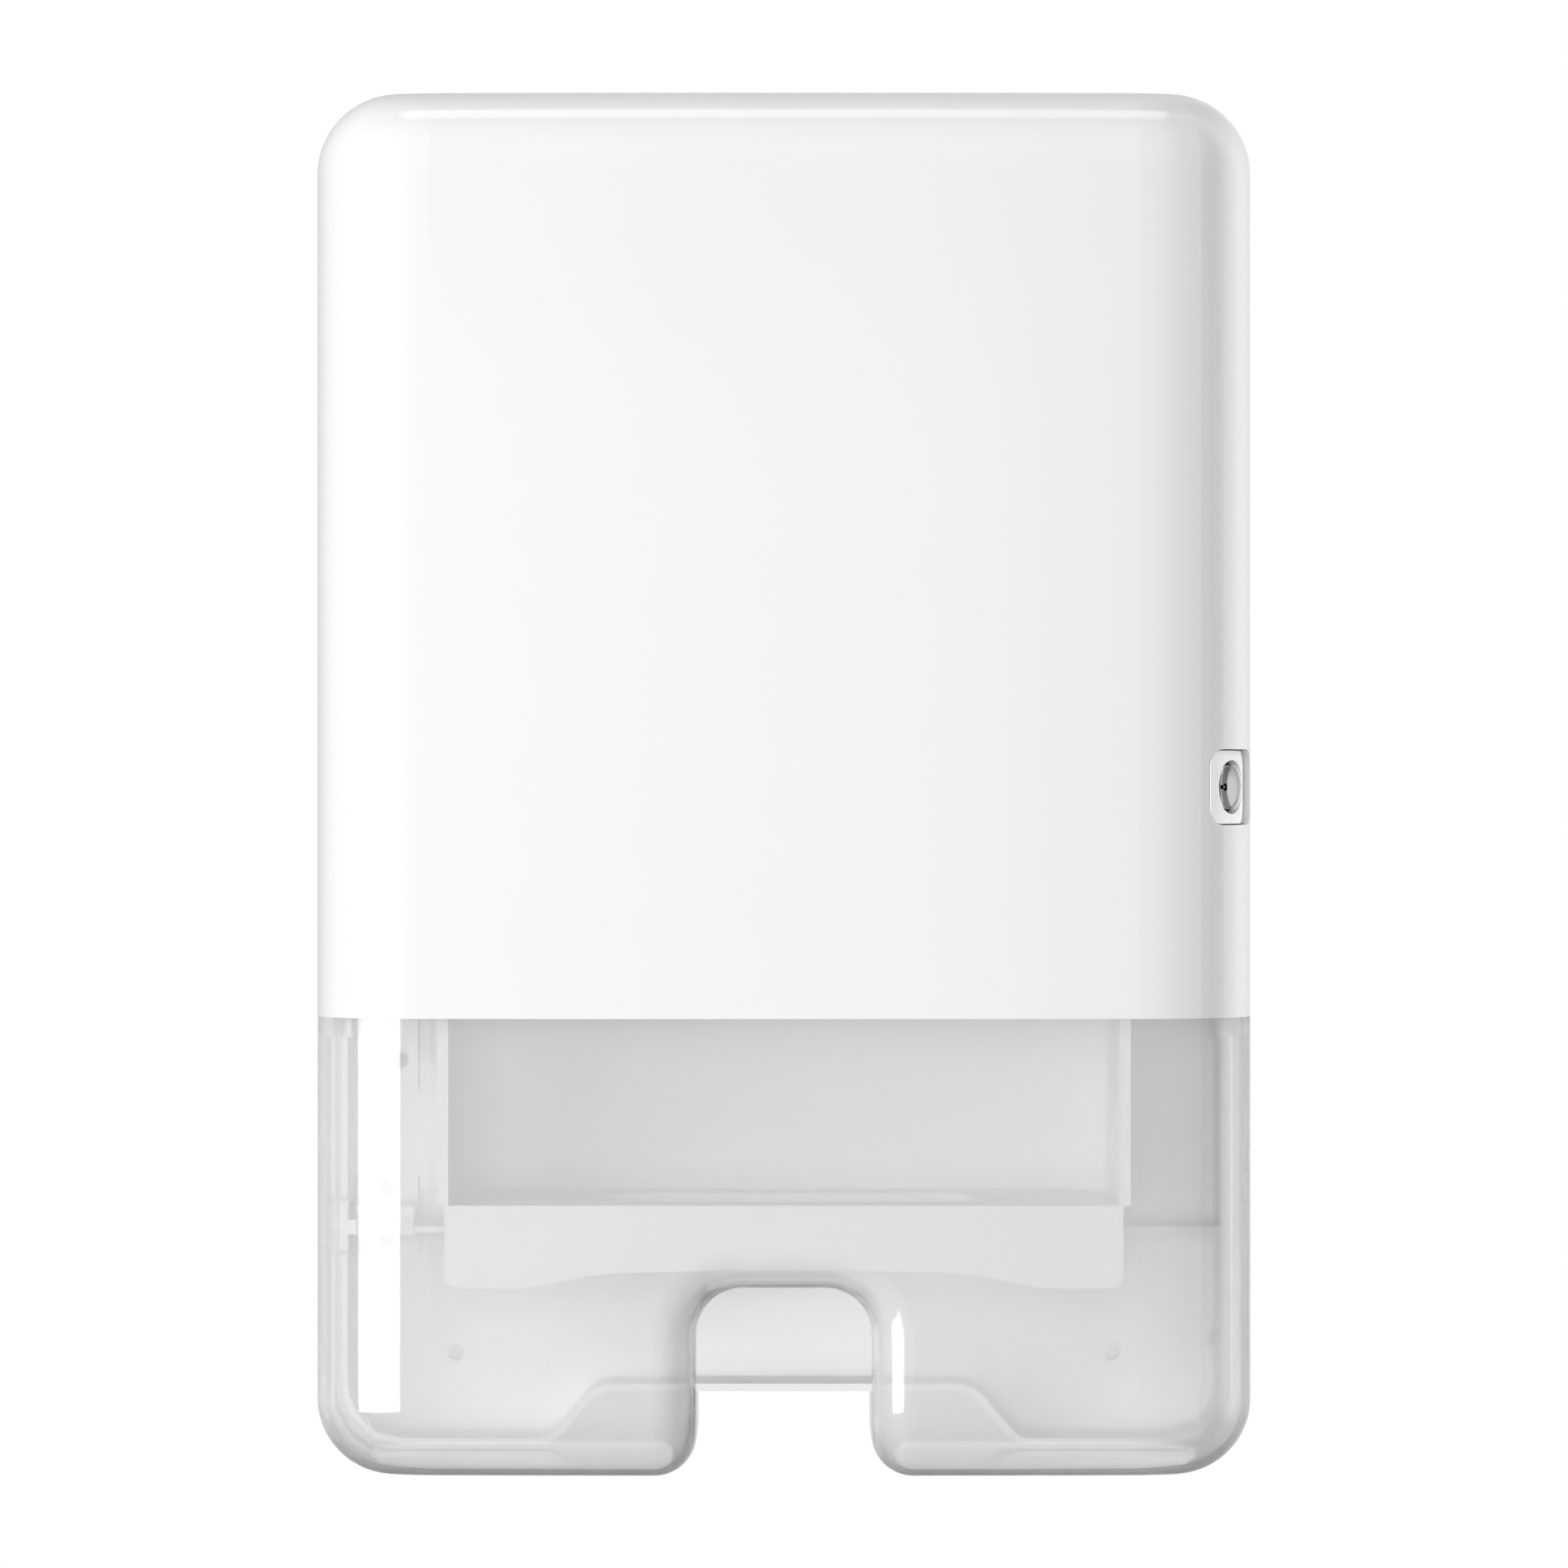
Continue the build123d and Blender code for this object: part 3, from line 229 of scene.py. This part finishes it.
gloss_noise = moulding.nodes.new("ShaderNodeTexNoise")
gloss_noise.inputs["Scale"].default_value = 40
gloss_noise.inputs["Detail"].default_value = 4
gloss = moulding.nodes.new("ShaderNodeMapRange")
ripple = moulding.nodes.new("ShaderNodeTexNoise")
ripple.inputs["Detail"].default_value = 1
ripple_height = moulding.nodes.new("ShaderNodeMath")
ripple_height.operation = "MULTIPLY"
ripple_bump = moulding.nodes.new("ShaderNodeBump")
ripple_bump.inputs["Distance"].default_value = 1
for noise in (cloud, gloss_noise, ripple):
    moulding.links.new(on_object.outputs["Object"], noise.inputs["Vector"])
for source, target in (
    (given.outputs["Cloud Scale"], cloud.inputs["Scale"]),
    (cloud.outputs["Fac"], shade.inputs["Factor"]),
    (given.outputs["Colour"], shade.inputs["A"]),
    (given.outputs["Cloud Colour"], shade.inputs["B"]),
    (gloss_noise.outputs["Fac"], gloss.inputs["Value"]),
    (given.outputs["Gloss Low"], gloss.inputs["To Min"]),
    (given.outputs["Gloss High"], gloss.inputs["To Max"]),
    (given.outputs["Ripple Scale"], ripple.inputs["Scale"]),
    (ripple.outputs["Fac"], ripple_height.inputs[0]),
    (given.outputs["Ripple Height"], ripple_height.inputs[1]),
    (ripple_height.outputs[0], ripple_bump.inputs["Height"]),
    (shade.outputs["Result"], result.inputs["Colour"]),
    (gloss.outputs["Result"], result.inputs["Roughness"]),
    (ripple_bump.outputs["Normal"], result.inputs["Normal"]),
):
    moulding.links.new(source, target)


def moulded_plastic(
    name, colour, cloud_colour, cloud_scale, gloss_low, gloss_high, ripple_scale, ripple_height,
):
    """A material whose colour, shine and ripple come from the moulded_surface group."""
    material = bpy.data.materials.new(name)
    material.use_nodes = True
    tree = material.node_tree
    surface = tree.nodes.new("ShaderNodeGroup")
    surface.node_tree = moulding
    surface.inputs["Colour"].default_value = (*colour, 1)
    surface.inputs["Cloud Colour"].default_value = (*cloud_colour, 1)
    surface.inputs["Cloud Scale"].default_value = cloud_scale
    surface.inputs["Gloss Low"].default_value = gloss_low
    surface.inputs["Gloss High"].default_value = gloss_high
    surface.inputs["Ripple Scale"].default_value = ripple_scale
    surface.inputs["Ripple Height"].default_value = ripple_height
    shader = tree.nodes["Principled BSDF"]
    tree.links.new(surface.outputs["Colour"], shader.inputs["Base Color"])
    tree.links.new(surface.outputs["Roughness"], shader.inputs["Roughness"])
    tree.links.new(surface.outputs["Normal"], shader.inputs["Normal"])
    return material


def finish_nodes(names, material):
    """Give CAD nodes a material in place of their plain one."""
    for name in names:
        slots = nodes[name].data.materials
        slots.clear()
        slots.append(material)


# The upper cover and the push button are moulded in glossy white plastic. The mould is polished,
# so they take soft, clear reflections.
white_gloss = moulded_plastic(
    "white_gloss_plastic", (0.90, 0.90, 0.90), (0.885, 0.887, 0.89), 6.0, 0.10, 0.15, 220.0, 0.000002,
)
white_shader = white_gloss.node_tree.nodes["Principled BSDF"]
white_shader.inputs["IOR"].default_value = 1.5
white_shader.inputs["Coat Weight"].default_value = 0.25
white_shader.inputs["Coat Roughness"].default_value = 0.05
finish_nodes(["upper_cover", "lock_button"], white_gloss)

# The window is one moulding in clear smoke plastic with a slight milkiness. It lets the light of
# the lamps and the room through, so the housing behind it is lit.
smoke = moulded_plastic(
    "smoke_window_plastic", (0.87, 0.87, 0.87), (0.86, 0.86, 0.86), 5.0, 0.004, 0.012, 180.0, 0.0000003,
)
smoke_tree = smoke.node_tree
smoke_shader = smoke_tree.nodes["Principled BSDF"]
smoke_shader.inputs["Transmission Weight"].default_value = 0.66
smoke_shader.inputs["IOR"].default_value = 1.5
smoke_shader.inputs["Coat Weight"].default_value = 0.9
smoke_shader.inputs["Coat Roughness"].default_value = 0.02
lamp_path = smoke_tree.nodes.new("ShaderNodeLightPath")
lamp_through = smoke_tree.nodes.new("ShaderNodeBsdfTransparent")
lamp_through.inputs["Color"].default_value = (0.98, 0.98, 0.98, 1)
room_light_too = smoke_tree.nodes.new("ShaderNodeMath")
room_light_too.operation = "MAXIMUM"
smoke_tree.links.new(lamp_path.outputs["Is Shadow Ray"], room_light_too.inputs[0])
smoke_tree.links.new(lamp_path.outputs["Is Diffuse Ray"], room_light_too.inputs[1])
lamp_mix = smoke_tree.nodes.new("ShaderNodeMixShader")
smoke_tree.links.new(room_light_too.outputs[0], lamp_mix.inputs[0])
smoke_tree.links.new(smoke_shader.outputs[0], lamp_mix.inputs[1])
smoke_tree.links.new(lamp_through.outputs[0], lamp_mix.inputs[2])
smoke_tree.links.new(lamp_mix.outputs[0], smoke_tree.nodes["Material Output"].inputs["Surface"])
finish_nodes(["lower_window"], smoke)

# The rear housing and what is fixed to it are satin off-white mouldings.
satin_white = moulded_plastic(
    "satin_white_plastic", (0.92, 0.92, 0.92), (0.90, 0.90, 0.90), 12.0, 0.32, 0.45, 900.0, 0.000004,
)
finish_nodes([
    "rear_housing", "left_side_guide", "right_side_guide", "guide_clip", "dispensing_shelf",
    "hinge_bracket_lower", "hinge_bracket_upper", "hinge_arm_lower", "hinge_arm_upper",
], satin_white)

# The lock housing and the springy latch tongue are matt grey acetal.
acetal = moulded_plastic(
    "grey_acetal", (0.55, 0.56, 0.57), (0.50, 0.51, 0.52), 20.0, 0.45, 0.60, 1100.0, 0.000008,
)
finish_nodes(["lock_housing", "latch_tongue"], acetal)


# Pins, rings and the cam are zinc-plated steel. The plate's colour and shine vary a little in a
# fine mottle, with the grain of the metal under it.
def worn_metal(name, colour, mottle_colour, mottle_scale, gloss_low, gloss_high):
    """A metal with the moulded_surface group's variation and a fixed fine grain."""
    grain_scale, grain_height = 700.0, 0.000004
    metal = moulded_plastic(
        name, colour, mottle_colour, mottle_scale, gloss_low, gloss_high, grain_scale, grain_height,
    )
    metal.node_tree.nodes["Principled BSDF"].inputs["Metallic"].default_value = 1
    return metal


zinc = worn_metal("zinc_plated_steel", (0.62, 0.62, 0.63), (0.50, 0.50, 0.52), 160.0, 0.25, 0.40)
finish_nodes(["hinge_pin_lower", "hinge_pin_upper", "pin_clips", "button_ring", "lock_cam"], zinc)


# Pan-head screws of zinc-plated steel with a cross recess. One of each size is modelled upright
# with the seat of its head at the origin, and its copies are set where the frame has them.
def only(piece):
    """Select one piece alone and make it active."""
    bpy.ops.object.select_all(action="DESELECT")
    piece.select_set(True)
    bpy.context.view_layer.objects.active = piece


def edit_faces(piece, chosen):
    """Enter edit mode with only the faces selected that a test of centre and normal accepts."""
    only(piece)
    for part in (piece.data.vertices, piece.data.edges, piece.data.polygons):
        part.foreach_set("select", [False] * len(part))
    for face in piece.data.polygons:
        face.select = chosen(face.center, face.normal)
    bpy.ops.object.mode_set(mode="EDIT")
    bpy.ops.mesh.select_mode(type="FACE")


def facing_up(centre, normal):
    """The flat top of a piece."""
    return normal.z > 0.9


def facing_down(centre, normal):
    """The flat underside of a piece."""
    return normal.z < -0.9


def round_bar(name, radius, low, high, sides=32):
    """A round bar along Z between two heights, at the origin of its own mesh."""
    bpy.ops.object.select_all(action="DESELECT")
    bpy.ops.mesh.primitive_cylinder_add(
        vertices=sides, radius=radius, depth=high - low, location=(0, 0, (high + low) / 2),
    )
    bar = bpy.context.object
    bar.name = name
    bpy.ops.object.transform_apply(location=True, rotation=True, scale=True)
    return bar


def cutting_block(size, middle, turned=0.0):
    """A block that another piece is cut with."""
    bpy.ops.object.select_all(action="DESELECT")
    bpy.ops.mesh.primitive_cube_add(size=1, location=middle)
    block = bpy.context.object
    block.scale = size
    block.rotation_euler = (0, 0, turned)
    bpy.ops.object.transform_apply(location=True, rotation=True, scale=True)
    return block


def cut_away(piece, cutter):
    """Cut one shape out of another and delete the cutter."""
    cut = piece.modifiers.new("cut", "BOOLEAN")
    cut.operation = "DIFFERENCE"
    cut.solver = "EXACT"
    cut.object = cutter
    only(piece)
    bpy.ops.object.modifier_apply(modifier="cut")
    bpy.data.objects.remove(cutter)


def put_in_place(piece, axes, place):
    """Turn a piece that was modelled upright at the origin, move it, and keep that in its mesh."""
    piece.rotation_mode = "QUATERNION"
    piece.rotation_quaternion = axes
    piece.location = place
    only(piece)
    bpy.ops.object.transform_apply(location=True, rotation=True, scale=True)


def pan_head_screw(name, shank, head_radius, head):
    """Domed head with a cross recess, plain shank, and a short cone for a tip."""
    shank_radius, recess_width = 0.00142, 0.0007
    tip_room, tip_length, tip_taper = 0.0012, 0.0011, 0.45
    piece = round_bar(name, head_radius, 0, head)
    edit_faces(piece, facing_up)
    bpy.ops.mesh.bevel(offset=head * 0.45, segments=4, affect="EDGES")
    bpy.ops.object.mode_set(mode="OBJECT")
    edit_faces(piece, facing_down)
    bpy.ops.mesh.inset(thickness=head_radius - shank_radius)
    bpy.ops.mesh.extrude_region_move(TRANSFORM_OT_translate={"value": (0, 0, tip_room - shank)})
    bpy.ops.mesh.extrude_region_move(TRANSFORM_OT_translate={"value": (0, 0, -tip_length)})
    bpy.ops.transform.resize(value=(tip_taper, tip_taper, 1))
    bpy.ops.object.mode_set(mode="OBJECT")
    for turned in (0, math.pi / 2):
        arm = cutting_block((head_radius * 1.15, recess_width, head), (0, 0, head), turned)
        edit_faces(arm, facing_down)
        bpy.ops.transform.resize(value=(0.55, 0.55, 1))
        bpy.ops.object.mode_set(mode="OBJECT")
        cut_away(piece, arm)
    piece.data.materials.append(zinc)
    only(piece)
    bpy.ops.object.shade_smooth_by_angle(angle=math.radians(35))
    return piece


key_turn = next(joint for joint in frame["joints"] if joint["name"] == "key_turn")
lock_place = Vector(key_turn["pos_m"])
lock_axis = Vector(key_turn["axis"]).normalized()
lock_side = Vector((0, 0, 1)).cross(lock_axis)
lock_turn = Matrix((lock_side, (0, 0, 1), lock_axis)).transposed().to_quaternion()
latch_low, latch_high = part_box("latch_screws")
latch_x = (latch_low.x + latch_high.x) / 2
to_room, to_left, to_right = Vector((0, -1, 0)), Vector((-1, 0, 0)), Vector((1, 0, 0))
# Node, body, shank, head radius, head height, then each head's seat and the way that it faces.
screw_sets = (
    ("guide_screws", "housing", 0.0079, 0.00295, 0.0019, [
        ((x, -0.0105, z), to_room) for x in (-0.1165, 0.1165) for z in (0.030, 0.120)
    ]),
    ("shelf_screws", "housing", 0.0084, 0.00295, 0.0019, [
        ((x, -0.0110, -0.1484), to_room) for x in (-0.084, 0.084)
    ]),
    ("clip_screws", "housing", 0.0079, 0.00295, 0.0019, [
        ((-0.12775, -0.0105, z), to_room) for z in (-0.0915, -0.040)
    ]),
    ("bracket_screws", "housing", 0.0084, 0.00295, 0.0019, [
        ((-0.1315, -0.0110, z), to_room) for z in (-0.1519, -0.1341, 0.1341, 0.1519)
    ]),
    ("latch_screws", "housing", 0.0079, 0.00295, 0.0019, [
        ((latch_x, -0.0105, z), to_room) for z in (latch_low.z + 0.003, latch_high.z - 0.003)
    ]),
    ("window_screws", "cover", 0.0029, 0.0045, 0.0015, [
        ((-0.14581, -0.0553, -0.0676), to_right), ((0.14581, -0.0553, -0.0676), to_left),
    ]),
    ("arm_screws", "cover", 0.0051, 0.00295, 0.0019, [
        ((-0.141, -0.0573, z), to_right) for z in (-0.1484, -0.1376, 0.1376, 0.1484)
    ]),
    ("lock_screws", "cover", 0.0084, 0.00295, 0.0019, [
        (lock_place - 0.0105 * lock_axis + Vector((0, 0, z)), -lock_axis) for z in (-0.0195, 0.0195)
    ]),
    ("cam_screw", "plug", 0.0069, 0.0033, 0.0017, [(lock_place - 0.0267 * lock_axis, -lock_axis)]),
)
for node, body, shank, head_radius, head, seats in screw_sets:
    pattern = pan_head_screw(node + "_cross_head", shank, head_radius, head)
    copies = [pattern]
    for _ in seats[1:]:
        copy = pattern.copy()
        copy.data = pattern.data.copy()
        bpy.context.scene.collection.objects.link(copy)
        copies.append(copy)
    for copy, (seat, outwards) in zip(copies, seats):
        put_in_place(copy, outwards.to_track_quat("Z", "Y"), seat)
    only(pattern)
    for copy in copies:
        copy.select_set(True)
    if len(copies) > 1:
        bpy.ops.object.join()
    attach(pattern, body)
    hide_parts(node)

# The button's return spring is wound from round spring wire. A small circle is wound three
# turns about the lock's axis.
def finish_on_lock(piece, material, place=lock_place, smooth_angle=30):
    """Give a piece modelled along Z its material, smooth it and set it on the lock's axis."""
    piece.data.materials.append(material)
    only(piece)
    bpy.ops.object.shade_smooth_by_angle(angle=math.radians(smooth_angle))
    put_in_place(piece, lock_turn, place)


wire_radius, coil_radius, spring_low, spring_high = 0.0006, 0.0086, -0.01925, -0.00975
spring_turns, steps_in_a_turn = 3, 36
bpy.ops.object.select_all(action="DESELECT")
bpy.ops.mesh.primitive_circle_add(
    vertices=12, radius=wire_radius, fill_type="NGON", location=(coil_radius, 0, 0),
    rotation=(math.radians(90), 0, 0),
)
spring = bpy.context.object
spring.name = "button_spring_coil"
bpy.ops.object.transform_apply(location=True, rotation=True, scale=True)
edit_faces(spring, lambda centre, normal: True)
bpy.ops.mesh.delete(type="ONLY_FACE")
bpy.ops.object.mode_set(mode="OBJECT")
coil = spring.modifiers.new("coil", "SCREW")
coil.axis = "Z"
coil.angle = spring_turns * 2 * math.pi
coil.screw_offset = spring_high - spring_low
coil.steps = coil.render_steps = spring_turns * steps_in_a_turn
only(spring)
bpy.ops.object.modifier_apply(modifier="coil")
bpy.ops.object.mode_set(mode="EDIT")
bpy.ops.mesh.select_mode(type="EDGE")
bpy.ops.mesh.select_all(action="DESELECT")
bpy.ops.mesh.select_non_manifold()
bpy.ops.mesh.edge_face_add()
bpy.ops.mesh.select_all(action="SELECT")
bpy.ops.mesh.normals_make_consistent(inside=False)
bpy.ops.object.mode_set(mode="OBJECT")
finish_on_lock(spring, zinc, lock_place + spring_low * lock_axis, smooth_angle=40)
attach(spring, "cover")
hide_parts("button_spring")

# The key plug is turned brass with bright chrome plate. Its face is a shallow round dish with a
# rounded rim, and the keyway is a hole with a slot to one side and a fixed pin in the middle.
chrome = worn_metal("chrome_plate", (0.86, 0.86, 0.87), (0.80, 0.80, 0.82), 90.0, 0.04, 0.08)
plug_radius, plug_low, plug_rim, rim_edge = 0.0071, -0.0058, 0.0019, 0.0003
stem_radius, stem_length, tail_radius, tail_length = 0.0045, 0.0189, 0.0030, 0.0020
dish_radius, dish_curve = 0.0065, 0.0200
keyway_radius, keyway_floor, keyway_top = 0.0013, -0.0050, 0.0030
slot_size, slot_middle = (0.0042, 0.0013, 0.0080), (-0.0021, 0, -0.0010)
pin_radius, pin_low, pin_top = 0.00045, -0.0052, 0.0006
plug = round_bar("key_plug_turned", plug_radius, plug_low, plug_rim, sides=96)
edit_faces(plug, facing_up)
bpy.ops.mesh.bevel(offset=rim_edge, segments=3, affect="EDGES")
bpy.ops.object.mode_set(mode="OBJECT")
edit_faces(plug, facing_down)
bpy.ops.mesh.inset(thickness=plug_radius - stem_radius)
bpy.ops.mesh.extrude_region_move(TRANSFORM_OT_translate={"value": (0, 0, -stem_length)})
bpy.ops.mesh.inset(thickness=stem_radius - tail_radius)
bpy.ops.mesh.extrude_region_move(TRANSFORM_OT_translate={"value": (0, 0, -tail_length)})
bpy.ops.object.mode_set(mode="OBJECT")
ball_height = plug_rim + math.sqrt(dish_curve**2 - dish_radius**2)
bpy.ops.mesh.primitive_uv_sphere_add(
    segments=96, ring_count=160, radius=dish_curve, location=(0, 0, ball_height),
)
cut_away(plug, bpy.context.object)
cut_away(plug, round_bar("keyway_bore", keyway_radius, keyway_floor, keyway_top))
cut_away(plug, cutting_block(slot_size, slot_middle))
finish_on_lock(plug, chrome)
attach(plug, "plug")
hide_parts("key_plug")
pin = round_bar("keyway_pin", pin_radius, pin_low, pin_top, sides=20)
edit_faces(pin, facing_up)
bpy.ops.mesh.bevel(offset=rim_edge, segments=3, affect="EDGES")
bpy.ops.object.mode_set(mode="OBJECT")
finish_on_lock(pin, chrome)
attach(pin, "plug")

# A black ring at the bottom of the button's recess is painted shade: it stands in for the shade in
# the recess round the plug. A white collar in two arcs stands on it, with a gap above and a gap below
# the plug.
painted_shade_black = moulded_plastic(
    "black_painted_shade", (0.03, 0.03, 0.03), (0.045, 0.045, 0.045), 300.0, 0.5, 0.7, 2200.0, 0.000006,
)
recess_radius, shade_ring_low, shade_ring_top, collar_top = 0.00855, -0.0059, 0.0002, 0.00245
shade_ring_bore_radius, collar_bore_radius = 0.00716, 0.0076
gap_size, gap_middle = (0.0096, 0.0200, 0.0100), (0, 0, 0.0010)
# The black ring of painted shade, with the plug's bore cut through it.
shade_ring = round_bar("plug_shade_ring", recess_radius, shade_ring_low, shade_ring_top, sides=96)
cut_away(shade_ring, round_bar("shade_ring_bore", shade_ring_bore_radius, -0.0070, 0.0010, sides=96))
finish_on_lock(shade_ring, painted_shade_black)
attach(shade_ring, "button")
collar = round_bar("plug_collar_arcs", recess_radius, shade_ring_top, collar_top, sides=96)
cut_away(collar, round_bar("collar_bore", collar_bore_radius, -0.0010, 0.0040, sides=96))
cut_away(collar, cutting_block(gap_size, gap_middle))
soft_edge = collar.modifiers.new("soft_edge", "BEVEL")
soft_edge.width = 0.00012
soft_edge.segments = 2
soft_edge.limit_method = "ANGLE"
only(collar)
bpy.ops.object.modifier_apply(modifier="soft_edge")
finish_on_lock(collar, white_gloss)
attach(collar, "button")
